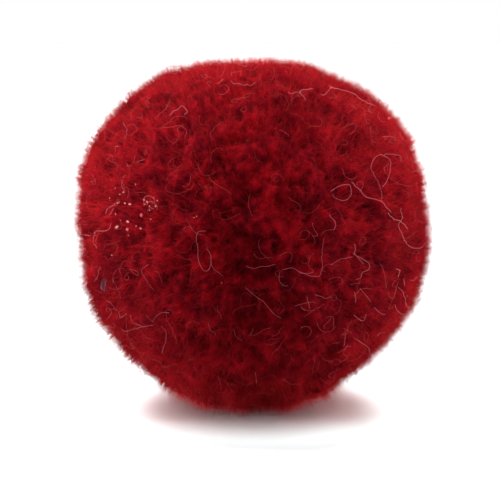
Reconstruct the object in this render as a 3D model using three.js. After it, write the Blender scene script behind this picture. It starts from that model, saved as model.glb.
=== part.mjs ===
// Plush pom pom: a scissor-trimmed ball of cut wool yarn on the small flat spot it rests on.
// Millimetres, +Z up. The origin is the middle of the flat spot, on the surface under the ball.
import * as THREE from 'three';
import { mergeVertices } from 'three/addons/utils/BufferGeometryUtils.js';

// Driving dimensions
const ballWidth = 40; // along X, from pile tip to pile tip
const ballDepth = 39.4; // along Y
const footRadius = 6.4; // flat spot under the ball
const edgeSplits = 17; // cuts along each edge of the icosahedron that the surface starts from

// The yarn ends stand together in clumps, with creases between them.
const clumps = { pitch: 4, dome: 0.85, uneven: 0.25, overlap: 0.62 };

// The trim leaves the ball a little out of round. turn is degrees about Z from +X, lift is degrees
// above the middle, spread is degrees of reach, and rise is millimetres out of the round ball.
const trim = [
  { place: 'left shoulder', turn: 172, lift: 39, spread: 27, rise: 1.35 },
  { place: 'right shoulder', turn: 8, lift: 38, spread: 20, rise: 0.85 },
  { place: 'back shoulder', turn: 84, lift: 32, spread: 26, rise: 0.7 },
  { place: 'crown', turn: 90, lift: 84, spread: 15, rise: -0.4 },
  { place: 'left side', turn: 181, lift: -3, spread: 13, rise: -1.05 },
  { place: 'right side', turn: 359, lift: 2, spread: 11, rise: -0.6 },
  { place: 'left flank', turn: 188, lift: -48, spread: 22, rise: -0.3 },
  { place: 'right flank', turn: 351, lift: -42, spread: 25, rise: -0.95 },
  { place: 'back flank', turn: 98, lift: -38, spread: 25, rise: -0.6 },
];

const pileWool = new THREE.MeshStandardMaterial({
  color: new THREE.Color().setRGB(0.63, 0.07, 0.1, THREE.SRGBColorSpace),
  roughness: 0.95,
  metalness: 0,
});

function directionOf(turn, lift) {
  const around = THREE.MathUtils.degToRad(turn);
  const up = THREE.MathUtils.degToRad(lift);
  return new THREE.Vector3(Math.cos(around) * Math.cos(up), Math.sin(around) * Math.cos(up), Math.sin(up));
}

// How far the trim stands out of the round ball along a direction.
function trimRise(direction) {
  let rise = 0;
  for (const row of trim) {
    const away = THREE.MathUtils.radToDeg(direction.angleTo(directionOf(row.turn, row.lift)));
    rise += row.rise * Math.exp(-((away / row.spread) ** 2));
  }
  return rise;
}

// A repeatable number from -1 to 1 for the clump with this index.
function unevenness(index) {
  const wave = Math.sin((index + 1) * 78.233) * 43758.5453;
  return 2 * (wave - Math.floor(wave)) - 1;
}

// Clump centres on a golden-angle spiral, so that they lie evenly all over the ball.
function clumpCentres() {
  const goldenAngle = 180 * (3 - Math.sqrt(5));
  const count = Math.round((Math.PI * ballWidth ** 2) / clumps.pitch ** 2);
  const centres = [];
  for (let i = 0; i < count; i += 1) {
    const lift = THREE.MathUtils.radToDeg(Math.asin(1 - (2 * i + 1) / count));
    const sway = (clumps.overlap * unevenness(i + count) * 360) / Math.sqrt(Math.PI * count);
    centres.push(directionOf(i * goldenAngle + sway, lift));
  }
  return centres;
}

// The height of the nearest clump's dome: full at its middle, nothing in the crease around it.
function clumpRise(direction, centres) {
  let nearest = 0;
  let closeness = -1;
  centres.forEach((centre, i) => {
    const near = direction.dot(centre);
    if (near > closeness) {
      closeness = near;
      nearest = i;
    }
  });
  const away = (Math.acos(Math.min(closeness, 1)) * ballWidth) / 2;
  const shape = Math.max(0, 1 - (away / (clumps.overlap * clumps.pitch)) ** 2);
  return clumps.dome * shape + clumps.uneven * unevenness(nearest);
}

// The ball's outer surface, every point out along its own direction from the middle.
function pileSurface() {
  const sphere = new THREE.IcosahedronGeometry(1, edgeSplits);
  sphere.deleteAttribute('normal');
  sphere.deleteAttribute('uv');
  const surface = mergeVertices(sphere, 1e-5);
  const points = surface.getAttribute('position');
  const centres = clumpCentres();
  const direction = new THREE.Vector3();
  for (let i = 0; i < points.count; i += 1) {
    direction.fromBufferAttribute(points, i).normalize();
    const reach = ballWidth / 2 + trimRise(direction) + clumpRise(direction, centres);
    direction.multiplyScalar(reach);
    points.setXYZ(i, direction.x, direction.y, direction.z);
  }
  return surface;
}

// Brings the surface to its width and depth, centred over the origin.
function fitToSize(surface) {
  surface.computeBoundingBox();
  const size = surface.boundingBox.getSize(new THREE.Vector3());
  const middle = surface.boundingBox.getCenter(new THREE.Vector3());
  surface.translate(-middle.x, -middle.y, 0);
  surface.scale(ballWidth / size.x, ballDepth / size.y, ballWidth / size.x);
}

// Presses the underside flat where the ball's own weight rests on it.
function pressFoot(surface) {
  const dropToFoot = Math.sqrt((ballWidth / 2) ** 2 - footRadius ** 2);
  const points = surface.getAttribute('position');
  for (let i = 0; i < points.count; i += 1) {
    points.setZ(i, Math.max(0, points.getZ(i) + dropToFoot));
  }
}

function pileBall() {
  const surface = pileSurface();
  fitToSize(surface);
  pressFoot(surface);
  surface.computeVertexNormals();
  const ball = new THREE.Mesh(surface, pileWool);
  ball.name = 'pile_ball';
  return ball;
}

const pomPom = new THREE.Group();
pomPom.add(pileBall());

export default pomPom;
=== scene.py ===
import math

import bmesh
import bpy
import numpy as np
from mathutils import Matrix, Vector, noise
from mathutils.bvhtree import BVHTree
from mathutils.kdtree import KDTree


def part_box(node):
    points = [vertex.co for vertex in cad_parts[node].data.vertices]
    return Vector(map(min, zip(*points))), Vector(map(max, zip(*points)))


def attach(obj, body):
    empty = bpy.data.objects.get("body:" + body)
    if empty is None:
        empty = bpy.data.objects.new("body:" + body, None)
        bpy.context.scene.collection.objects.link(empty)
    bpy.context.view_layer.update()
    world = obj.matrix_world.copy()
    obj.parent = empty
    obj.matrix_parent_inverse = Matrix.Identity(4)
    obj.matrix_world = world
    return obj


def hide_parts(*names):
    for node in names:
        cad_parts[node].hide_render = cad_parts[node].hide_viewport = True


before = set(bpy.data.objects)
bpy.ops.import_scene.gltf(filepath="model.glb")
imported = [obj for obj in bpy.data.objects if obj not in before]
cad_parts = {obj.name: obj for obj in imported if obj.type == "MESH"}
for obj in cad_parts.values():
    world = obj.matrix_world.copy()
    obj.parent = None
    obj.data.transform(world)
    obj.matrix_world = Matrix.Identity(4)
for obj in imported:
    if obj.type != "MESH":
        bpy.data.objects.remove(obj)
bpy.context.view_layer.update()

# Plush pom pom: a soft undercoat of yarn tufts, a coat of fine wool fibres on it, and what has
# caught in the pile. Everything is in metres, and the ball's size comes from the frame.

mm = 0.001
ballNode = "pile_ball"
lowCorner, highCorner = (np.array(corner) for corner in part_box(ballNode))
ballMiddle = np.array([0.0, 0.0, (lowCorner[2] + highCorner[2]) / 2])
ballRadius = (highCorner[0] - lowCorner[0]) / 2
floorHeight = lowCorner[2]


def paint(red, green, blue):  # a chart colour, 0 to 255 each, as the linear one that nodes take
    parts = []
    for value in (red, green, blue):
        share = value / 255
        parts.append(share / 12.92 if share < 0.04045 else ((share + 0.055) / 1.055) ** 2.4)
    return (*parts, 1.0)


def unit(vectors):
    return vectors / np.maximum(np.linalg.norm(vectors, axis=-1, keepdims=True), 1e-12)


def across(vectors):  # any direction square to each of these
    helper = np.where(np.abs(vectors[..., 2:3]) < 0.9, [0.0, 0.0, 1.0], [1.0, 0.0, 0.0])
    return unit(np.cross(vectors, helper))


# The trimmed shape, read off the frame.

outline = {
    "turns": 360,  # rays around
    "lifts": 181,  # rays from the underside to the crown
    "softening": 6,  # passes that round off the frame's facets
}


def reachTable():
    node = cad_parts[ballNode]
    points = [Vector(v.co) for v in node.data.vertices]
    tree = BVHTree.FromPolygons(points, [tuple(p.vertices) for p in node.data.polygons])
    lifts = np.radians(np.linspace(-90, 90, outline["lifts"]))
    turns = np.radians(np.arange(outline["turns"]) * 360 / outline["turns"])
    middle = Vector(ballMiddle)
    table = np.empty((len(lifts), len(turns)))
    for row, lift in enumerate(lifts):
        for column, turn in enumerate(turns):
            ray = Vector((math.cos(turn) * math.cos(lift), math.sin(turn) * math.cos(lift), math.sin(lift)))
            table[row, column] = tree.ray_cast(middle, ray)[3]
    for _ in range(outline["softening"]):
        around = (np.roll(table, 1, 1) + 2 * table + np.roll(table, -1, 1)) / 4
        padded = np.pad(around, ((1, 1), (0, 0)), mode="edge")
        table = (padded[:-2] + 2 * padded[1:-1] + padded[2:]) / 4
    return table


reaches = reachTable()
print("outline read from the frame")


def reachAlong(directions):  # how far the trimmed pile goes from the ball's middle
    lift = np.degrees(np.arcsin(np.clip(directions[:, 2], -1, 1)))
    turn = np.degrees(np.arctan2(directions[:, 1], directions[:, 0])) % 360
    row = (lift + 90) / 180 * (outline["lifts"] - 1)
    column = turn / 360 * outline["turns"]
    low = np.minimum(row.astype(int), outline["lifts"] - 2)
    left = column.astype(int) % outline["turns"]
    right = (left + 1) % outline["turns"]
    up, over = row - low, column - np.floor(column)
    below = reaches[low, left] * (1 - over) + reaches[low, right] * over
    above = reaches[low + 1, left] * (1 - over) + reaches[low + 1, right] * over
    return below * (1 - up) + above * up


# Meshes and materials.

def makeMesh(name, points, triangles, shades=None, normals=None):
    mesh = bpy.data.meshes.new(name)
    mesh.vertices.add(len(points))
    mesh.vertices.foreach_set("co", np.asarray(points, np.float32).ravel())
    mesh.loops.add(len(triangles) * 3)
    mesh.loops.foreach_set("vertex_index", np.asarray(triangles, np.int32).ravel())
    mesh.polygons.add(len(triangles))
    mesh.polygons.foreach_set("loop_start", np.arange(len(triangles), dtype=np.int32) * 3)
    mesh.polygons.foreach_set("use_smooth", np.ones(len(triangles), bool))
    mesh.update(calc_edges=True)
    for label, values in (shades or {}).items():
        layer = mesh.attributes.new(label, "FLOAT", "POINT")
        layer.data.foreach_set("value", np.asarray(values, np.float32))
    if normals is not None:
        mesh.normals_split_custom_set_from_vertices(np.asarray(normals, np.float32))
    piece = bpy.data.objects.new(name, mesh)
    bpy.context.scene.collection.objects.link(piece)
    return piece


def shadeMap(piece, along, up):  # a map whose place is the shade itself, so strands share one palette
    mesh = piece.data
    layer = mesh.uv_layers.new(name="OFBake")
    corners = np.empty(len(mesh.loops), np.int32)
    mesh.loops.foreach_get("vertex_index", corners)
    places = np.stack([along, up], 1)[corners]
    layer.data.foreach_set("uv", np.asarray(places, np.float32).ravel())


def finishPiece(piece, material):
    piece.data.materials.append(material)
    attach(piece, "root")


def newMaterial(name):
    material = bpy.data.materials.new(name)
    material.use_nodes = True
    nodes = material.node_tree.nodes
    nodes.clear()
    output = nodes.new("ShaderNodeOutputMaterial")
    surface = nodes.new("ShaderNodeBsdfPrincipled")
    material.node_tree.links.new(surface.outputs["BSDF"], output.inputs["Surface"])
    return material, nodes, material.node_tree.links, surface


def ramp(nodes, stops):
    node = nodes.new("ShaderNodeValToRGB")
    elements = node.color_ramp.elements
    while len(elements) > 1:
        elements.remove(elements[-1])
    elements[0].position, elements[0].color = stops[0]
    for place, colour in stops[1:]:
        elements.new(place).color = colour
    return node


def readShade(nodes, label):
    node = nodes.new("ShaderNodeAttribute")
    node.attribute_name = label
    return node


# The colours by height paint shade into the wool: creases darkest, tuft sides darker than tuft tops, and
# the tips and finest ends painted brighter, standing for light that shines through them.
wool = {
    "creaseShade": paint(58, 10, 24),
    "side": paint(136, 17, 37),
    "top": paint(202, 21, 45),
    "tip": paint(255, 34, 52),
    "paintedGlow": paint(255, 60, 45),  # the finest ends, painted bright as if lit through
    "heights": (0.0, 0.4, 0.7, 0.9, 1.0),  # where those five come, from the creases' painted shade to the ends' painted glow
    "duller": paint(150, 130, 165),  # what the dullest fibres are multiplied by
    "brighter": paint(255, 255, 245),
    "roughness": 0.9,
    "specular": 0.05,
    "sheen": 1.0,
    "sheenRoughness": 0.4,
    "sheenTint": paint(255, 50, 60),
}


def woolMaterial(name, grain):
    material, nodes, links, surface = newMaterial(name)
    height = readShade(nodes, "height")
    tone = readShade(nodes, "tone")
    # Painted shade and glow: the height ramp darkens the wool deep in the pile and brightens its ends; tone
    # gives the wool's own duller and brighter fibres.
    shades = [wool[part] for part in ("creaseShade", "side", "top", "tip", "paintedGlow")]
    shadeRamp = ramp(nodes, list(zip(wool["heights"], shades)))
    byTone = ramp(nodes, ((0.0, wool["duller"]), (1.0, wool["brighter"])))
    mix = nodes.new("ShaderNodeMix")
    mix.data_type, mix.blend_type = "RGBA", "MULTIPLY"
    mix.inputs["Factor"].default_value = 1.0
    links.new(height.outputs["Fac"], shadeRamp.inputs["Fac"])
    links.new(tone.outputs["Fac"], byTone.inputs["Fac"])
    links.new(shadeRamp.outputs["Color"], mix.inputs["A"])
    links.new(byTone.outputs["Color"], mix.inputs["B"])
    links.new(mix.outputs["Result"], surface.inputs["Base Color"])
    surface.inputs["Roughness"].default_value = wool["roughness"]
    surface.inputs["Specular IOR Level"].default_value = wool["specular"]
    surface.inputs["Sheen Weight"].default_value = wool["sheen"]
    surface.inputs["Sheen Roughness"].default_value = wool["sheenRoughness"]
    surface.inputs["Sheen Tint"].default_value = wool["sheenTint"]
    if grain:
        coords = nodes.new("ShaderNodeTexCoord")
        fine = nodes.new("ShaderNodeTexNoise")
        fine.inputs["Scale"].default_value = grain["scale"]
        fine.inputs["Detail"].default_value = grain["detail"]
        bump = nodes.new("ShaderNodeBump")
        bump.inputs["Distance"].default_value = grain["depth"]
        bump.inputs["Strength"].default_value = 1.0
        links.new(coords.outputs["Object"], fine.inputs["Vector"])
        links.new(fine.outputs["Fac"], bump.inputs["Height"])
        links.new(bump.outputs["Normal"], surface.inputs["Normal"])
    return material


# The undercoat: the soft body of the ball, trimmed level, with creases and pits between its tufts, which
# are painted darker as shade.

# Each layer of noise is a size and a strength. The "Apart" values say where in the noise a thing is
# read, so that no two things come out alike.
layerApart = 7.3
trim = {
    "layers": ((2.6 * mm, 0.24 * mm), (1.1 * mm, 0.3 * mm), (0.5 * mm, 0.2 * mm)),  # uneven cutting
    "layersApart": 17.9,
}
undercoat = {
    "edgeSplits": 84,  # cuts along each edge of the icosahedron that it starts from
    "belowTips": 0.85 * mm,
    "lumps": ((1.25 * mm, 1.0), (0.62 * mm, 0.7), (0.31 * mm, 0.4)),
    "lumpsApart": 3.1,
    "lumpStrength": 1.1,
    "level": 0.4,  # a higher one leaves less wool at the trimmed height
    "unevenness": 0.7,
    "unevenSize": 4.5 * mm,
    "unevenApart": 5.9,
    "smootherCrown": 0.22,
    # The pile turns smoother from crownStart / crownSteepness of the radius above the middle.
    "crownSteepness": 2.0,
    "crownStart": 0.4,
    "pitDepth": 0.5 * mm,
    "pitLimit": 1.7,
    "pitPower": 1.3,  # above 1, shallow pits stay shallow
    # Painted shade: pits are set lower on the wool's ramp of colours, so they are coloured darker.
    "topHeight": 0.7,  # place on the wool's ramp of colours where there is no pit
    "pitPaintedShade": 0.3,
    "warp": 0.5 * mm,
    "warpSize": 1.1 * mm,
    "warpApart": (21.3, 47.9, 83.7),
    "patches": ((2.2 * mm, 0.8), (0.9 * mm, 0.8), (0.45 * mm, 0.6)),  # duller and brighter ones
    "patchesApart": 11.7,
    "patchTone": 0.5,
    "floorGap": 0.05 * mm,
    "grain": {"scale": 5200.0, "detail": 3.0, "depth": 0.03 * mm},
}


def layeredNoise(points, layers, apart):
    total = np.zeros(len(points))
    for number, (size, strength) in enumerate(layers):
        places = points / size + apart + layerApart * number
        total += strength * np.array([noise.noise(Vector(place)) for place in places])
    return total


def trimmedReach(directions):
    unevenness = layeredNoise(directions * ballRadius, trim["layers"], trim["layersApart"])
    return reachAlong(directions) + unevenness


def treeOf(places):
    tree = KDTree(len(places))
    for i, place in enumerate(places):
        tree.insert(Vector(place), i)
    tree.balance()
    return tree


def finerSphere(splits):
    form = bmesh.new()
    bmesh.ops.create_icosphere(form, subdivisions=1, radius=1.0)
    corners = np.array([v.co[:] for v in form.verts])
    faces = np.array([[v.index for v in f.verts] for f in form.faces])
    form.free()
    steps = [(i, j) for i in range(splits + 1) for j in range(splits + 1 - i)]
    index = {step: n for n, step in enumerate(steps)}
    shares = np.array([(splits - i - j, i, j) for i, j in steps]) / splits
    small = []
    for i, j in steps:
        if i + j < splits:
            small.append((index[i, j], index[i + 1, j], index[i, j + 1]))
        if i + j < splits - 1:
            small.append((index[i + 1, j], index[i + 1, j + 1], index[i, j + 1]))
    points = (shares[None] @ corners[faces]).reshape(-1, 3)
    triangles = (np.array(small)[None] + len(steps) * np.arange(20)[:, None, None]).reshape(-1, 3)
    _, first, joined = np.unique(np.round(points, 6), axis=0, return_index=True, return_inverse=True)
    return unit(points[first]), joined.reshape(-1)[triangles]


def buildUndercoat():
    directions, triangles = finerSphere(undercoat["edgeSplits"])
    places = directions * ballRadius
    sway = ((undercoat["warpSize"], 1.0),)
    warp = np.stack([layeredNoise(places, sway, apart) for apart in undercoat["warpApart"]], 1)
    warped = places + warp * undercoat["warp"]
    lumps = layeredNoise(warped, undercoat["lumps"], undercoat["lumpsApart"])
    broad = layeredNoise(places, ((undercoat["unevenSize"], 1.0),), undercoat["unevenApart"])
    crown = np.clip(directions[:, 2] * undercoat["crownSteepness"] - undercoat["crownStart"], 0, 1)
    level = undercoat["level"] + undercoat["unevenness"] * broad
    level -= undercoat["smootherCrown"] * crown
    pit = np.clip(level - undercoat["lumpStrength"] * lumps, 0, undercoat["pitLimit"])
    sunk = undercoat["pitDepth"] * pit ** undercoat["pitPower"]
    reach = trimmedReach(directions) - sunk - undercoat["belowTips"]
    points = ballMiddle + directions * reach[:, None]
    points[:, 2] = np.maximum(points[:, 2], floorHeight + undercoat["floorGap"])
    # Painted shade: the deeper the pit, the darker its colour.
    height = np.clip(undercoat["topHeight"] - undercoat["pitPaintedShade"] * pit, 0, 1)
    patches = layeredNoise(places, undercoat["patches"], undercoat["patchesApart"])
    tone = np.clip(undercoat["patchTone"] + patches, 0, 1)
    piece = makeMesh("undercoat", points, triangles, {"height": height, "tone": tone})
    finishPiece(piece, woolMaterial("wool undercoat", undercoat["grain"]))
    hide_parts(ballNode)
    normals = np.empty(len(points) * 3, np.float32)
    piece.data.vertices.foreach_get("normal", normals)
    print("undercoat", len(triangles), "triangles")
    return {
        "tree": treeOf(directions),
        "reach": np.linalg.norm(points - ballMiddle, axis=1),
        "normal": normals.reshape(-1, 3).astype(float),
        "height": height,
        "tone": tone,
    }


coat = buildUndercoat()


def nearestOn(directions):  # the undercoat's vertex under each direction
    return np.array([coat["tree"].find(Vector(d))[1] for d in directions])


# The pile: crimped fibres that lie tangled over the tufts, and a nap of finer ones that stand up.

curls = {
    "names": ("curlsRight", "curlsBack", "curlsLeft", "curlsFront"),
    "fibres": 32000,
    "points": 5,
    "step": 0.28 * mm,
    "turn": 42.0,  # degrees of bend at each point
    "wobble": 0.0,  # and how much that changes from one to the next
    "rise": 0.5,  # how far the axis that it bends about leans over
    "thickness": 0.04 * mm,
    "widths": (0.6, 1.3),  # thinnest and thickest, as a share of that
    "lift": 0.6 * mm,  # how far the loose ends stand off the tufts
    "dip": -0.3,  # and how far others sink into them, as a share of that
    "clearance": 0.05 * mm,
    # Painted shade: curls sit lower on the wool's ramp and turn lighter as they lift off the tufts.
    "paintedShade": 0.24,
    "liftPaintedLight": 0.25,
    "toneBelow": 0.75,  # share of its tone taken from the wool below
    "facesOut": 0.55,  # how far its shading follows the ball, not the tuft below
    "facesTuft": 0.45,
    "facingSpread": 0.1,
    "seed": 23,
}
nap = {
    "names": ("napRight", "napBack", "napLeft", "napFront"),
    "fibres": 160000,
    "shortest": 0.25 * mm,
    "longest": 2.3 * mm,
    "shortOfTrim": 0.2 * mm,
    "pastTrim": 0.5 * mm,  # how far past that they stray, on average
    "rooted": 0.12 * mm,
    "thickness": 0.03 * mm,  # at the root
    "widths": (0.7, 1.3),
    "lean": 0.4,
    "levels": (0.06, 0.36),  # painted shade: how much lighter the root and the tip are than the wool below
    "paintedGlowGain": 0.5,  # painted glow: extra paleness of the ends that stray furthest
    "hazeFrom": 0.8,  # how far an end strays, as a share of pastTrim, before it turns paler
    "palest": 1.2,  # above 1, the palest colour starts before the tip
    "toneBelow": 0.65,
    "toneOwn": 0.12,
    "tonePaler": 0.14,
    "facesOut": 0.65,
    "facesTuft": 0.35,
    "facingSpread": 0.05,
    "seed": 24,
}


def quarterOf(directions):
    angle = np.degrees(np.arctan2(directions[:, 1], directions[:, 0])) + 45
    return (angle % 360 // 90).astype(int)


def randomDirections(count, draw):
    return unit(draw.normal(0, 1, (count, 3)))


def spun(vectors, axes, angles):  # each vector turned about its axis
    cosine, sine = np.cos(angles)[:, None], np.sin(angles)[:, None]
    along = (vectors * axes).sum(1, keepdims=True)
    return vectors * cosine + np.cross(axes, vectors) * sine + axes * along * (1 - cosine)


def ribbons(lines, widths, facing):  # flat strands, pointed at both ends
    count, steps, _ = lines.shape
    parts = [lines[:, 0]]
    for mid in range(1, steps - 1):
        side = unit(np.cross(lines[:, mid + 1] - lines[:, mid - 1], facing)) * widths[:, None] / 2
        parts += [lines[:, mid] - side, lines[:, mid] + side]
    parts.append(lines[:, -1])
    last = 2 * (steps - 2) + 1
    pattern = [(0, 2, 1)]
    for low in range(1, last - 2, 2):
        pattern += [(low, low + 1, low + 3), (low, low + 3, low + 2)]
    pattern.append((last - 2, last - 1, last))
    starts = (last + 1) * np.arange(count)
    triangles = (np.array(pattern)[None] + starts[:, None, None]).reshape(-1, 3)
    return np.stack(parts, 1).reshape(-1, 3), triangles, [1] + [2] * (steps - 2) + [1]


def needles(lines, widths, facing):
    # closed three-sided strands: a pointed root, one ring for each middle point and a pointed tip
    count, steps, _ = lines.shape
    rings = steps - 2
    parts = [lines[:, 0]]
    for ring in range(1, steps - 1):
        along = unit(lines[:, ring + 1] - lines[:, ring - 1])
        side = unit(np.cross(along, facing))
        other = np.cross(along, side)
        for corner in range(3):
            turn = 2 * math.pi * corner / 3
            offset = side * math.cos(turn) + other * math.sin(turn)
            parts.append(lines[:, ring] + offset * widths[:, None] / 2)
    parts.append(lines[:, -1])
    pattern = []
    last = 3 * rings + 1
    for corner in range(3):
        after = (corner + 1) % 3
        pattern.append((0, 1 + after, 1 + corner))
        for ring in range(rings - 1):
            low, high = 1 + 3 * ring, 4 + 3 * ring
            pattern.append((low + corner, low + after, high + after))
            pattern.append((low + corner, high + after, high + corner))
        top = last - 3
        pattern.append((top + corner, top + after, last))
    starts = (last + 1) * np.arange(count)
    triangles = (np.array(pattern)[None] + starts[:, None, None]).reshape(-1, 3)
    return np.stack(parts, 1).reshape(-1, 3), triangles, [1] + [3] * rings + [1]


def spikes(lines, widths):  # straight fibres of three faces, open at the root
    along = unit(lines[:, 1] - lines[:, 0])
    side = across(along)
    other = np.cross(along, side)
    parts = []
    for corner in range(3):
        turn = 2 * math.pi * corner / 3
        offset = side * math.cos(turn) + other * math.sin(turn)
        parts.append(lines[:, 0] + offset * widths[:, None] / 2)
    parts.append(lines[:, 1])
    pattern = np.array([(0, 1, 3), (1, 2, 3), (2, 0, 3)])
    triangles = (pattern[None] + 4 * np.arange(len(lines))[:, None, None]).reshape(-1, 3)
    return np.stack(parts, 1).reshape(-1, 3), triangles, [3, 1]


strandGap = 0.03 * mm  # strands keep this far off the floor


def aboveFloor(lines):
    lines[:, :, 2] = np.maximum(lines[:, :, 2], floorHeight + strandGap)
    return lines


mapMargin = 0.02  # left free along each side of the map
mapWidth = 0.006  # half the width that a strand takes on it


def addStrands(name, strand, levels, tones, normals, material):
    points, triangles, around = strand
    spread = np.repeat(np.arange(len(around)), around)
    each = len(spread)
    height = levels[:, spread].ravel()
    tone = np.repeat(tones, each)
    shades = {"height": height, "tone": tone}
    piece = makeMesh(name, points, triangles, shades, np.repeat(normals, each, 0))
    nudge = np.tile(np.resize([0.0, -mapWidth, mapWidth], each), len(tones))
    inside = 1 - 2 * mapMargin
    along = np.clip(mapMargin + inside * tone + nudge, 0, 1)
    up = np.clip(mapMargin + inside * height, 0, 1)
    shadeMap(piece, along, up)
    finishPiece(piece, material)
    print(name, len(triangles), "triangles")


stepLengths = (0.6, 1.4)  # shortest and longest, as a share of the piece's own step


def wander(outward, strand, draw):  # curling paths over the ball, as directions from its middle
    count = len(outward)
    walk = unit(np.cross(outward, randomDirections(count, draw)))
    axes = unit(outward + strand["rise"] * draw.normal(0, 1, (count, 3)))
    bend = np.radians(strand["turn"]) * draw.normal(0, 1, count)
    step = strand["step"] / ballRadius * draw.uniform(*stepLengths, count)[:, None]
    path = [outward]
    for _ in range(strand["points"] - 1):
        path.append(unit(path[-1] + walk * step))
        bend += np.radians(strand["wobble"]) * draw.normal(0, 1, count)
        walk = spun(walk, axes, bend)
    return np.stack(path, 1)


def facingOf(strand, outward, normal, draw):  # the way each strand is shaded, between ball and tuft
    scatter = draw.normal(0, strand["facingSpread"], outward.shape)
    return unit(strand["facesTuft"] * normal + strand["facesOut"] * outward + scatter)


def buildCurls(material):
    draw = np.random.default_rng(curls["seed"])
    count = curls["fibres"]
    outward = randomDirections(count, draw)
    under = nearestOn(outward)
    path = wander(outward, curls, draw)
    here = nearestOn(path.reshape(-1, 3)).reshape(path.shape[:2])
    ends = curls["lift"] * draw.uniform(curls["dip"], 1, (count, 2))
    share = np.linspace(0, 1, curls["points"])
    lift = ends[:, :1] * (1 - share) + ends[:, 1:] * share + curls["clearance"]
    lines = aboveFloor(ballMiddle + path * (coat["reach"][here] + lift)[:, :, None])
    # Painted shade and light: lower curls are coloured darker, lifted ones lighter.
    lighter = curls["liftPaintedLight"] * lift / curls["lift"]
    levels = np.clip(coat["height"][here] - curls["paintedShade"] + lighter, 0, 1)
    below = curls["toneBelow"]
    tones = np.clip(below * coat["tone"][under] + (1 - below) * draw.random(count), 0, 1)
    facing = facingOf(curls, outward, coat["normal"][under], draw)
    widths = curls["thickness"] * draw.uniform(*curls["widths"], count)
    quarter = quarterOf(outward)
    for number, name in enumerate(curls["names"]):
        mine = quarter == number
        strand = ribbons(lines[mine], widths[mine], outward[mine])
        addStrands(name, strand, levels[mine], tones[mine], facing[mine], material)


def buildNap(material):
    draw = np.random.default_rng(nap["seed"])
    count = nap["fibres"]
    outward = randomDirections(count, draw)
    under = nearestOn(outward)
    stray = draw.exponential(1, count)
    toTrim = trimmedReach(outward) - coat["reach"][under] - nap["shortOfTrim"]
    lengths = np.clip(toTrim + nap["pastTrim"] * stray, nap["shortest"], nap["longest"])
    lean = unit(outward + draw.normal(0, nap["lean"], (count, 3)))
    start = ballMiddle + outward * (coat["reach"][under] - nap["rooted"])[:, None]
    tip = start + lean * (lengths + nap["rooted"])[:, None]
    lines = aboveFloor(np.stack([start, tip], 1))
    # Painted shade and glow: roots darker than tips, and the furthest-straying ends paler as if lit
    # through.
    levels = coat["height"][under][:, None] + np.array(nap["levels"])
    levels[:, 1] += nap["paintedGlowGain"] * np.maximum(stray - nap["hazeFrom"], 0)
    levels = np.clip(levels, 0, nap["palest"])
    below = nap["toneBelow"] * coat["tone"][under]
    tones = np.clip(below + nap["toneOwn"] * draw.random(count) + nap["tonePaler"], 0, 1)
    facing = facingOf(nap, outward, coat["normal"][under], draw)
    widths = nap["thickness"] * draw.uniform(*nap["widths"], count)
    quarter = quarterOf(outward)
    for number, name in enumerate(nap["names"]):
        mine = quarter == number
        strand = spikes(lines[mine], widths[mine])
        addStrands(name, strand, levels[mine], tones[mine], facing[mine], material)


pileWool = woolMaterial("wool pile", None)
buildCurls(pileWool)
buildNap(pileWool)


def plainMaterial(name, look):
    material, nodes, links, surface = newMaterial(name)
    shown = ramp(nodes, ((0.0, look["dark"]), (1.0, look["pale"])))
    links.new(readShade(nodes, "tone").outputs["Fac"], shown.inputs["Fac"])
    links.new(shown.outputs["Color"], surface.inputs["Base Color"])
    surface.inputs["Roughness"].default_value = look["roughness"]
    surface.inputs["Specular IOR Level"].default_value = look["specular"]
    return material


# Strays: lighter curly fibres loose over the pile.

strays = {
    "fibres": 1000,
    "points": 9,
    "step": 0.32 * mm,
    "turn": 16.0,
    "wobble": 14.0,
    "rise": 0.3,
    "thickness": 0.032 * mm,
    "widths": (0.6, 1.2),
    "lift": 0.3 * mm,
    "dark": paint(176, 22, 38),
    "pale": paint(248, 92, 98),
    "roughness": 0.7,
    "specular": 0.2,
    "seed": 31,
}
dips = {
    "swing": 5.0,  # radians from one end of a strand to the other
    "swingShares": (0.4, 1),  # calmest and liveliest, as a share of that
    "middle": 0.2,  # the height that it swings about, as a share of its lift
}


def loose(path, lift, draw):  # a path laid on the pile, rising and dipping into it
    count, steps, _ = path.shape
    start = draw.uniform(0, 2 * math.pi, (count, 1))
    lively = draw.uniform(*dips["swingShares"], (count, 1))
    swing = start + np.linspace(0, dips["swing"], steps) * lively
    risen = lift * (dips["middle"] + (1 - dips["middle"]) * np.sin(swing))
    reach = trimmedReach(path.reshape(-1, 3)).reshape(count, steps) - nap["shortOfTrim"]
    return aboveFloor(ballMiddle + path * (reach + risen)[:, :, None])


def buildStrays():
    draw = np.random.default_rng(strays["seed"])
    count = strays["fibres"]
    outward = randomDirections(count, draw)
    lines = loose(wander(outward, strays, draw), strays["lift"], draw)
    widths = strays["thickness"] * draw.uniform(*strays["widths"], count)
    strand = needles(lines, widths, outward)
    levels = np.tile(np.linspace(0, 1, strays["points"]), (count, 1))
    material = plainMaterial("stray wool", strays)
    addStrands("strays", strand, levels, draw.random(count), outward, material)


buildStrays()


# What has caught in the pile: pale hairs, shiny specks and a plum fleck.

shot = {
    "lens": 90.0,
    "sensor": 36.0,
    "elevation": 10.0,  # degrees above the ball's middle
    "ballShare": 0.717,  # the ball's width as a share of the picture
    "shiftRight": -0.006,
    "shiftUp": -0.038,
    "nearest": 5 * mm,
}
frontAway = 2 * ballRadius / shot["ballShare"] * shot["lens"] / shot["sensor"]
frontTilt = math.radians(shot["elevation"])
frontRay = np.array([0.0, -math.cos(frontTilt), math.sin(frontTilt)])

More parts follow.
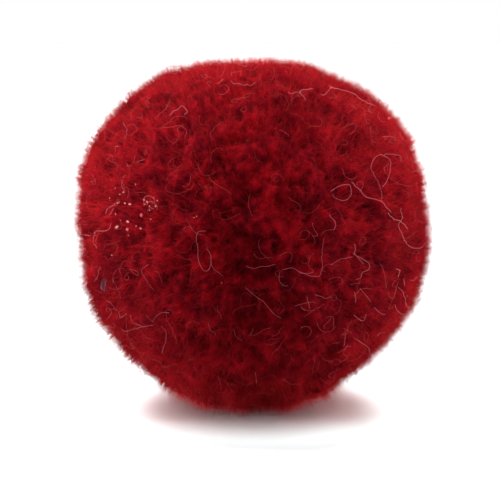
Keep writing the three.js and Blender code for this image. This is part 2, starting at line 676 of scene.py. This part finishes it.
hairs = {
    "points": 30,
    "thickness": 0.05 * mm,
    "widths": (0.8, 1.15),
    "lift": 0.25 * mm,
    "dark": paint(150, 42, 66),
    "pale": paint(240, 116, 130),
    "roughness": 0.55,
    "specular": 0.3,
    # The front's hairs: how pale each is, and its bends in millimetres right of and above the middle.
    "front": (
        (0.8, (14.8, 3.3), (14.6, 4.9), (13.5, 6.6), (13.25, 7.7), (14.2, 8.55), (15.0, 8.0), (15.4, 7.0),
         (15.1, 5.6), (14.55, 4.8)),
        (0.7, (10.9, 5.5), (12.2, 4.5), (12.9, 3.85), (14.3, 3.6), (14.9, 3.1), (15.5, 2.0)),
        (0.8, (15.2, 2.1), (15.6, 1.5), (16.5, 1.1), (17.2, 0.2)),
        (0.7, (17.0, 2.7), (16.8, 1.5), (16.6, 0.3), (16.9, -0.9), (17.5, -1.7), (18.3, -1.9),
         (19.1, -1.3)),
        (0.6, (14.7, 8.5), (15.4, 8.85), (16.4, 8.5), (16.55, 7.8)),
        (0.5, (14.6, 10.7), (15.4, 10.6), (16.0, 10.3), (15.8, 10.0)),
        (0.6, (8.6, 4.4), (9.6, 5.0), (10.5, 5.1), (11.0, 4.4), (10.8, 3.7), (10.1, 3.4), (9.3, 3.7),
         (9.0, 4.2)),
        (0.6, (8.6, 1.9), (9.3, 0.8), (9.1, 0.1)),
        (0.8, (8.6, -3.8), (9.6, -3.2), (10.5, -3.05), (11.3, -2.9)),
        (0.6, (11.5, -1.4), (11.4, -2.4), (12.0, -3.0), (12.6, -3.8)),
        (0.7, (11.3, -2.5), (12.3, -3.1), (13.1, -3.7), (13.0, -4.2), (12.4, -4.6), (12.1, -5.2),
         (11.5, -5.5)),
        (0.6, (11.1, -6.2), (11.9, -5.7)),
        (0.7, (11.5, -6.9), (11.4, -7.6), (11.6, -8.1)),
        (0.7, (12.2, -6.5), (12.9, -7.3), (13.3, -8.0)),
        (0.9, (11.4, -9.5), (12.2, -10.0), (12.8, -9.3)),
        (1.0, (16.0, -4.2), (16.4, -4.6), (16.6, -5.3)),
        (0.9, (17.3, -5.4), (17.0, -6.2)),
        (0.8, (16.5, -6.3), (17.1, -7.1), (17.5, -8.1), (17.6, -8.8), (17.2, -9.3), (16.3, -9.1),
         (15.9, -8.2)),
        (0.7, (17.2, -7.2), (17.9, -7.6)),
        (0.9, (8.4, 16.1), (9.3, 16.0), (10.3, 15.7), (11.3, 15.2), (12.4, 14.6), (13.6, 13.8)),
        (0.8, (4.0, 15.8), (4.4, 15.4), (5.0, 15.4)),
        (0.8, (5.9, 14.5), (5.2, 15.4), (5.5, 15.9), (6.2, 15.95), (6.9, 16.3)),
        (0.8, (7.6, 15.3), (8.3, 15.6), (8.9, 16.1)),
        (0.5, (-2.5, 16.8), (-1.5, 16.3), (-0.5, 16.4), (0.4, 16.9)),
        (0.8, (-9.4, 13.0), (-8.6, 13.8), (-7.9, 13.95), (-7.4, 13.5), (-7.6, 12.8)),
        (0.5, (-12.4, 13.3), (-12.9, 12.5)),
        (0.5, (-14.7, 12.3), (-14.2, 11.2), (-14.3, 10.2)),
        (0.7, (-15.7, 9.1), (-15.4, 9.4), (-14.9, 9.4)),
        (0.9, (-12.5, 8.15), (-12.95, 7.95), (-12.8, 7.6)),
        (0.9, (-16.0, 1.0), (-16.0, 0.3), (-16.6, 0.0), (-17.3, -0.05), (-17.8, -0.7), (-17.8, -1.6),
         (-17.6, -2.0)),
        (0.9, (-18.9, -0.4), (-18.3, -0.55)),
        (0.6, (-17.3, -4.0), (-17.6, -4.9), (-17.75, -5.7)),
        (0.5, (-11.6, -3.7), (-12.4, -4.3), (-12.3, -5.3), (-11.9, -6.1), (-11.3, -6.9)),
        (0.5, (-15.5, -5.3), (-15.3, -6.2), (-15.1, -7.0), (-15.2, -7.8)),
        (0.6, (-5.1, 0.0), (-6.1, -0.1), (-6.3, -0.9), (-6.1, -2.2), (-6.0, -3.4), (-5.6, -4.4),
         (-5.1, -4.5),
         (-4.75, -3.6), (-4.8, -2.7), (-5.3, -1.9)),
        (0.5, (-4.8, -3.4), (-4.4, -4.3), (-3.4, -5.2)),
        (0.6, (-0.9, -6.2), (0.2, -7.3), (1.4, -8.3), (2.4, -9.5), (3.3, -10.0)),
        (0.6, (-0.9, -4.0), (0.1, -4.3), (1.0, -4.0), (2.5, -3.7)),
        (0.6, (3.0, -4.6), (2.9, -5.4), (3.3, -6.0), (4.0, -6.2)),
        (0.6, (3.2, -4.4), (4.5, -4.2), (5.6, -4.8), (6.9, -4.6)),
        (0.6, (5.0, -4.4), (6.3, -4.95), (7.5, -5.0), (7.75, -4.0), (7.8, -3.0), (7.9, -1.8), (8.1, -0.6)),
        (0.5, (6.6, 1.0), (7.0, 0.2), (7.3, -0.5), (6.6, -0.6)),
        (0.6, (4.5, -8.3), (5.5, -8.1), (6.5, -8.1), (7.2, -8.2)),
        (0.6, (5.4, -8.5), (5.9, -9.0)),
        (0.6, (6.1, -7.3), (6.2, -8.0), (6.4, -8.7)),
        (0.6, (6.8, -7.0), (7.6, -7.3), (8.2, -7.6), (8.9, -7.4)),
        (0.5, (11.6, -12.3), (12.6, -12.8), (13.2, -13.4), (13.1, -14.1), (12.4, -14.7)),
        (0.5, (13.8, -11.7), (14.6, -11.6), (15.0, -11.4)),
        (0.5, (10.7, -11.8), (10.4, -12.6), (10.2, -13.0)),
        (0.7, (9.1, -12.8), (9.7, -12.4)),
        (0.5, (13.8, -8.7), (14.3, -9.2), (14.8, -9.3)),
        (0.5, (-16.7, -7.9), (-16.1, -8.5), (-15.6, -9.2), (-15.1, -9.7), (-14.5, -9.5), (-14.0, -9.1)),
        (0.6, (-14.8, -10.9), (-14.1, -11.15), (-13.2, -11.0), (-12.4, -10.8), (-11.3, -10.8)),
        (0.5, (-13.7, -9.3), (-13.4, -10.0), (-12.8, -10.5), (-12.3, -10.8)),
        (0.5, (-11.7, -9.2), (-11.4, -9.8), (-11.2, -10.3)),
        (0.5, (-9.3, -9.1), (-10.2, -9.2), (-10.9, -9.6), (-11.3, -10.2)),
        (0.6, (-10.2, -10.5), (-10.0, -11.3), (-9.85, -12.2), (-10.1, -13.0), (-10.2, -13.8)),
        (0.5, (-12.0, -11.8), (-11.3, -12.5)),
        (0.4, (-5.0, -10.2), (-4.6, -11.2), (-4.2, -11.9)),
        (0.4, (-2.2, -11.2), (-1.9, -11.8), (-1.1, -12.1)),
        (0.5, (-0.4, -11.6), (0.0, -11.0)),
        (1.0, (0.25, -16.1), (0.35, -16.5), (0.4, -16.85)),
        (0.8, (-12.4, 3.1), (-12.1, 3.75), (-11.4, 3.9), (-11.0, 3.4), (-11.4, 3.0)),
        (0.7, (-11.9, 2.9), (-11.3, 3.3), (-10.8, 2.8), (-11.1, 2.3)),
        (0.7, (-12.0, 2.3), (-11.6, 2.6), (-11.1, 2.5)),
        (0.6, (-16.6, 1.9), (-16.2, 2.5), (-15.7, 3.0), (-15.2, 3.2)),
        (0.5, (-16.3, 1.7), (-15.9, 2.2), (-15.4, 2.5)),
        (0.5, (-14.2, 6.3), (-14.6, 5.2), (-14.5, 4.6), (-14.3, 4.2)),
        (0.4, (3.3, -16.7), (4.2, -17.3), (5.0, -17.1)),
    ),
    "elsewhere": 120,  # scattered over the rest of the ball
    "tones": (0.3, 1),  # least and most pale of those
    "step": 0.19 * mm,
    "turn": 5.0,
    "wobble": 3.5,
    "rise": 0.0,
    "seed": 37,
}
specks = {
    # right, up and size in millimetres, seen from the front
    "front": (
        (-14.95, 3.15, 0.3), (-14.1, 3.05, 0.2), (-13.65, 2.95, 0.2), (-12.3, 3.5, 0.2),
        (-12.25, 3.0, 0.27), (-10.8, 2.75, 0.22), (-11.4, 2.75, 0.18), (-11.65, 2.35, 0.15),
        (-12.5, 1.8, 0.33), (-15.25, 1.9, 0.18), (-14.0, 1.05, 0.25), (-14.65, 1.15, 0.14),
        (-15.2, 0.45, 0.3), (-14.25, 0.2, 0.3), (-13.85, -0.5, 0.2), (-13.2, 0.55, 0.16),
        (-12.65, 0.3, 0.18), (-15.5, 4.8, 0.15), (-16.05, 3.7, 0.15), (-13.1, 5.2, 0.13),
        (-14.4, 4.3, 0.15), (-14.75, 4.05, 0.15), (-11.2, 3.75, 0.18), (-10.7, 3.4, 0.14),
        (-11.9, 3.3, 0.2), (-6.6, 1.5, 0.16), (-6.3, 1.65, 0.14), (-15.8, -2.7, 0.15),
        (-3.5, -5.8, 0.16), (-11.3, 1.3, 0.13),
    ),
    "elsewhere": 36,
    "sizes": (0.12, 0.26),  # smallest and biggest of those, in millimetres
    "bigger": 0.95,
    "lumpy": (0.5, 1.3),  # how far in and out a speck's corners go
    "longer": 0.9,
    "dark": paint(240, 66, 80),
    "pale": paint(255, 160, 160),
    "roughness": 0.5,
    "specular": 0.15,
    "lift": 0.2 * mm,
    "lifts": (0.1, 1),  # lowest and highest, as a share of that
    # On the map a speck is a narrow upright patch, at the place of its own tone.
    "map": {"low": 0.03, "span": 0.92, "halfWide": 0.02, "middle": 0.5, "halfTall": 0.48},
    "seed": 41,
}
fleck = {
    "right": -16.6 * mm,
    "up": -6.0 * mm,
    "wide": 0.95 * mm,
    "tall": 1.3 * mm,
    "thick": 0.12 * mm,
    "lean": 19.0,  # degrees to the right at its top
    "squareness": 0.6,  # below 1, squarer than a ball
    "bow": 0.18,
    "lift": 0.1 * mm,
    "dark": paint(82, 14, 26),
    "pale": paint(184, 104, 122),
    "roughness": 0.7,
    "specular": 0.05,
    "plainTone": 0.08,
    # A pale streak down its lower left and a fainter one right of its middle. The places and widths are
    # shares of half the fleck.
    "streak": {"left": 0.6, "curve": 0.3, "width": 0.2, "top": 0.4, "strength": 0.9},
    "faint": {"right": 0.35, "width": 0.15, "strength": 0.2},
}
frontPasses = 6  # each starts from the reach that the last one found
placesBetween = 12  # between two bends of a listed hair
frontEdge = 0.35  # places that face the front more than this are left to listed hairs and specks


def seenFromFront(right, up):  # directions to the pile where the front view shows these places
    eye = frontRay * frontAway
    above = np.array([0.0, math.sin(frontTilt), math.cos(frontTilt)])
    ray = unit(right[:, None] * np.array([1.0, 0.0, 0.0]) + up[:, None] * above - eye)
    nearest = -(ray @ eye)
    reach = np.full(len(ray), ballRadius)
    for _ in range(frontPasses):
        gap = np.sqrt(np.maximum(reach ** 2 - (eye @ eye - nearest ** 2), 0))
        outward = unit(eye + ray * (nearest - gap)[:, None])
        reach = reachAlong(outward)
    return outward


def throughBends(bends, count):  # a smooth line through listed bends, in even steps
    bends = np.array(bends) * mm
    ends = np.vstack([2 * bends[0] - bends[1], bends, 2 * bends[-1] - bends[-2]])
    line = []
    for before, start, stop, after in zip(ends, ends[1:], ends[2:], ends[3:]):
        linear = stop - before
        squared = 2 * before - 5 * start + 4 * stop - after
        cubed = 3 * (start - stop) + after - before
        for share in np.linspace(0, 1, placesBetween, endpoint=False):
            line.append(start + share / 2 * (linear + share * (squared + share * cubed)))
    line = np.array(line + [bends[-1]])
    far = np.concatenate([[0], np.cumsum(np.linalg.norm(np.diff(line, axis=0), axis=1))])
    even = np.linspace(0, far[-1], count)
    return np.stack([np.interp(even, far, line[:, 0]), np.interp(even, far, line[:, 1])], 1)


def awayFromFront(count, draw):  # directions over the sides, back, crown and underside
    outward = randomDirections(count * 3, draw)  # more than are needed, as some face the front
    return outward[outward @ frontRay < frontEdge][:count]


def buildHairs():
    draw = np.random.default_rng(hairs["seed"])
    drawn = np.array([throughBends(hair[1:], hairs["points"]) for hair in hairs["front"]])
    flat = drawn.reshape(-1, 2)
    front = seenFromFront(flat[:, 0], flat[:, 1]).reshape(len(drawn), hairs["points"], 3)
    spread = awayFromFront(hairs["elsewhere"], draw)
    path = np.concatenate([front, wander(spread, hairs, draw)])
    paleness = [hair[0] for hair in hairs["front"]]
    tones = np.concatenate([paleness, draw.uniform(*hairs["tones"], len(spread))])
    outward = path[:, hairs["points"] // 2]
    widths = hairs["thickness"] * draw.uniform(*hairs["widths"], len(path))
    strand = needles(loose(path, hairs["lift"], draw), widths, outward)
    levels = np.tile(np.linspace(0, 1, hairs["points"]), (len(path), 1))
    material = plainMaterial("pale hairs", hairs)
    addStrands("paleHairs", strand, levels, tones, outward, material)


def smallBall(splits):
    form = bmesh.new()
    bmesh.ops.create_icosphere(form, subdivisions=splits, radius=1.0)
    points = np.array([v.co[:] for v in form.verts])
    triangles = np.array([[v.index for v in f.verts] for f in form.faces])
    form.free()
    return points, triangles


def buildSpecks():
    draw = np.random.default_rng(specks["seed"])
    seen = np.array(specks["front"]) * mm
    front = seenFromFront(seen[:, 0], seen[:, 1])
    others = awayFromFront(specks["elsewhere"], draw)
    outward = np.vstack([front, others])
    sizes = np.concatenate([seen[:, 2], draw.uniform(*specks["sizes"], len(others)) * mm])
    form, faces = smallBall(1)
    lift = specks["lift"] * draw.uniform(*specks["lifts"], len(outward))
    middles = ballMiddle + outward * (trimmedReach(outward) - nap["shortOfTrim"] + lift)[:, None]
    shapes = form[None] * draw.uniform(*specks["lumpy"], (len(outward), len(form), 1))
    along = randomDirections(len(outward), draw)[:, None]
    stretch = specks["longer"] * draw.random((len(outward), 1, 1))
    shapes += along * (shapes * along).sum(2, keepdims=True) * stretch
    points = (middles[:, None] + shapes * specks["bigger"] * sizes[:, None, None] / 2).reshape(-1, 3)
    triangles = (faces[None] + len(form) * np.arange(len(outward))[:, None, None]).reshape(-1, 3)
    tones = np.repeat(draw.random(len(outward)), len(form))
    facing = np.repeat(outward, len(form), 0)
    piece = makeMesh("shinySpecks", aboveFloor(points[None])[0], triangles, {"tone": tones}, facing)
    patch = specks["map"]
    wide = patch["halfWide"] * np.tile(form[:, 0], len(outward))
    tall = patch["halfTall"] * np.tile(form[:, 2], len(outward))
    shadeMap(piece, patch["low"] + patch["span"] * tones + wide, patch["middle"] + tall)
    finishPiece(piece, plainMaterial("shiny specks", specks))
    print("shinySpecks", len(triangles), "triangles")


def buildFleck():
    form, triangles = smallBall(4)
    square = np.sign(form) * np.abs(form) ** fleck["squareness"]
    outward = seenFromFront(np.array([fleck["right"]]), np.array([fleck["up"]]))[0]
    lean = math.radians(fleck["lean"])
    upright = np.array([math.sin(lean), 0.0, math.cos(lean)])
    tall = unit(upright - outward * (math.cos(lean) * outward[2]))
    wide = unit(np.cross(tall, outward))
    middle = ballMiddle + outward * (trimmedReach(outward[None])[0] + fleck["lift"])
    bow = fleck["bow"] * fleck["wide"] * (form[:, 0] ** 2 - 0.5)
    sideways = wide * square[:, :1] * fleck["wide"] / 2
    upward = tall * square[:, 2:] * fleck["tall"] / 2
    depth = outward * (square[:, 1:2] * fleck["thick"] / 2 + bow[:, None])
    points = middle + sideways + upward + depth
    streak, faint = fleck["streak"], fleck["faint"]
    offStreak = (form[:, 0] + streak["left"] - streak["curve"] * form[:, 2] ** 2) / streak["width"]
    offFaint = (form[:, 0] - faint["right"]) / faint["width"]
    streaked = np.exp(-offStreak ** 2) * np.clip(streak["top"] - form[:, 2], 0, 1)
    fainter = np.exp(-offFaint ** 2)
    tone = fleck["plainTone"] + streak["strength"] * streaked + faint["strength"] * fainter
    piece = makeMesh("plumFleck", points, triangles[:, ::-1], {"tone": np.clip(tone, 0, 1)})
    finishPiece(piece, plainMaterial("plum fleck", fleck))
    print("plumFleck", len(triangles), "triangles")


buildHairs()
buildSpecks()
buildFleck()


# Floor, light and camera.

studio = {
    "floorSize": 3.0,
    "floorColour": 0.4,
    # The camera sees the floor lifted to white, with the shadow's shape painted on: painted light most of
    # all in a ring around the ball's foot, where little light falls, and less beneath the ball, where a
    # painted shadow is darker and redder.
    "lift": 1.5,
    "ringPaintedLight": 2.7,  # painted light: how much more in the ring
    "ringAway": 12.5 * mm,
    "ringWidth": 4.5 * mm,
    "ringCooler": 0.25,  # painted: how much more green and blue there, against the red light that the wool throws
    # Painted shadow beneath the ball: darker, and redder as if lit by the wool.
    "underPaintedShadow": 0.5,
    "underPaintedRedLight": 0.4,
    "underReach": 6 * mm,
    "liftReach": 30 * mm,
    "liftStops": 16,
    "shadowMiddle": (0.3 * mm, -2 * mm, 0.0),
    "shadowSqueeze": 0.72,
    "surround": 0.1,  # brightness of the white tent around the ball
    "lamps": (
        # name, where it stands, strength, how soft in degrees
        ("topLight", (-0.12, 0.75, 1.0), 2.1, 60),
        ("topRimLight", (-0.12, -0.05, 1.0), 1.2, 12),
        ("leftLight", (-1.0, 0.9, 0.05), 0.75, 60),
        ("rightLight", (1.0, 0.9, 0.05), 0.8, 60),
        ("leftRimLight", (-1.0, -0.05, 0.1), 2.1, 12),
        ("rightRimLight", (1.0, -0.05, 0.1), 1.8, 12),
        ("backLight", (-0.12, 1.0, 0.3), 0.3, 120),
    ),
}


def seenByCamera(nodes, links):  # camera, mirror and glass rays see the plain white ground
    path = nodes.new("ShaderNodeLightPath")
    first = nodes.new("ShaderNodeMath")
    first.operation = "MAXIMUM"
    second = nodes.new("ShaderNodeMath")
    second.operation = "MAXIMUM"
    links.new(path.outputs["Is Camera Ray"], first.inputs[0])
    links.new(path.outputs["Is Glossy Ray"], first.inputs[1])
    links.new(first.outputs[0], second.inputs[0])
    links.new(path.outputs["Is Transmission Ray"], second.inputs[1])
    return second


# The floor colour that the camera sees: painted light in a ring around the foot and painted shadow beneath
# the ball.
def paintedFloorLight(away):  # as a colour, at this distance from the middle of the shadow
    ring = math.exp(-((away - studio["ringAway"]) / studio["ringWidth"]) ** 2)
    under = math.exp(-(away / studio["underReach"]) ** 2)
    red = studio["lift"] * (1 - studio["underPaintedShadow"] * under) + studio["ringPaintedLight"] * ring
    rest = red * (1 + studio["ringCooler"] * ring - studio["underPaintedRedLight"] * under)
    return np.array([red, rest, rest])


def buildFloor():
    half = studio["floorSize"] / 2
    corners = [(-half, -half, floorHeight), (half, -half, floorHeight), (half, half, floorHeight),
               (-half, half, floorHeight)]
    mesh = bpy.data.meshes.new("floor")
    mesh.from_pydata(corners, [], [(0, 1, 2, 3)])
    floor = bpy.data.objects.new("floor", mesh)
    bpy.context.scene.collection.objects.link(floor)
    material, nodes, links, surface = newMaterial("pale floor")
    surface.inputs["Roughness"].default_value = 1.0
    surface.inputs["Specular IOR Level"].default_value = 0.0
    place = nodes.new("ShaderNodeTexCoord")
    squeeze = nodes.new("ShaderNodeMapping")
    squeeze.vector_type = "TEXTURE"
    squeeze.inputs["Location"].default_value = studio["shadowMiddle"]
    squeeze.inputs["Scale"].default_value = (1 / studio["shadowSqueeze"], 1.0, 1.0)
    distance = nodes.new("ShaderNodeVectorMath")
    distance.operation = "LENGTH"
    share = nodes.new("ShaderNodeMath")
    share.operation = "DIVIDE"
    share.inputs[1].default_value = studio["liftReach"]
    places = np.linspace(0, 1, studio["liftStops"])
    lifts = [paintedFloorLight(place * studio["liftReach"]) for place in places]
    brightest = float(np.max(lifts))
    shown = ramp(nodes, [(place, (*lift / brightest, 1.0)) for place, lift in zip(places, lifts)])
    lifted = nodes.new("ShaderNodeVectorMath")
    lifted.operation = "SCALE"
    lifted.inputs["Scale"].default_value = brightest
    colour = nodes.new("ShaderNodeMix")
    colour.data_type = "RGBA"
    colour.inputs["A"].default_value = (*[studio["floorColour"]] * 3, 1.0)
    links.new(place.outputs["Object"], squeeze.inputs["Vector"])
    links.new(squeeze.outputs["Vector"], distance.inputs[0])
    links.new(distance.outputs["Value"], share.inputs[0])
    links.new(share.outputs[0], shown.inputs["Fac"])
    links.new(shown.outputs["Color"], lifted.inputs[0])
    links.new(lifted.outputs[0], colour.inputs["B"])
    links.new(seenByCamera(nodes, links).outputs[0], colour.inputs["Factor"])
    links.new(colour.outputs["Result"], surface.inputs["Base Color"])
    floor.data.materials.append(material)


def buildWorld():
    world = bpy.data.worlds.new("white tent")
    world.use_nodes = True
    nodes, links = world.node_tree.nodes, world.node_tree.links
    nodes.clear()
    output = nodes.new("ShaderNodeOutputWorld")
    mix = nodes.new("ShaderNodeMixShader")
    lit = nodes.new("ShaderNodeBackground")
    lit.inputs["Color"].default_value = (1.0, 1.0, 1.0, 1.0)
    lit.inputs["Strength"].default_value = studio["surround"]
    seen = nodes.new("ShaderNodeBackground")
    seen.inputs["Color"].default_value = (1.0, 1.0, 1.0, 1.0)
    seen.inputs["Strength"].default_value = 1.0
    links.new(seenByCamera(nodes, links).outputs[0], mix.inputs[0])
    links.new(lit.outputs[0], mix.inputs[1])
    links.new(seen.outputs[0], mix.inputs[2])
    links.new(mix.outputs[0], output.inputs["Surface"])
    bpy.context.scene.world = world


def buildLamps():
    for name, stand, strength, softness in studio["lamps"]:
        lamp = bpy.data.lights.new(name, "SUN")
        lamp.energy = strength
        lamp.angle = math.radians(softness)
        holder = bpy.data.objects.new(name, lamp)
        holder.location = Vector(stand).normalized()
        holder.rotation_euler = Vector(stand).to_track_quat("Z", "Y").to_euler()
        bpy.context.scene.collection.objects.link(holder)


def buildCamera():
    camera = bpy.data.cameras.new("camera")
    camera.lens = shot["lens"]
    camera.sensor_width = shot["sensor"]
    camera.shift_x = shot["shiftRight"]
    camera.shift_y = shot["shiftUp"]
    camera.clip_start = shot["nearest"]
    holder = bpy.data.objects.new("camera", camera)
    bpy.context.scene.collection.objects.link(holder)
    holder.location = Vector(ballMiddle + frontRay * frontAway)
    holder.rotation_euler = Vector(frontRay).to_track_quat("Z", "Y").to_euler()
    bpy.context.scene.camera = holder


buildFloor()
buildWorld()
buildLamps()
buildCamera()
bpy.context.scene.view_settings.view_transform = "Standard"
print("floor, light and camera")
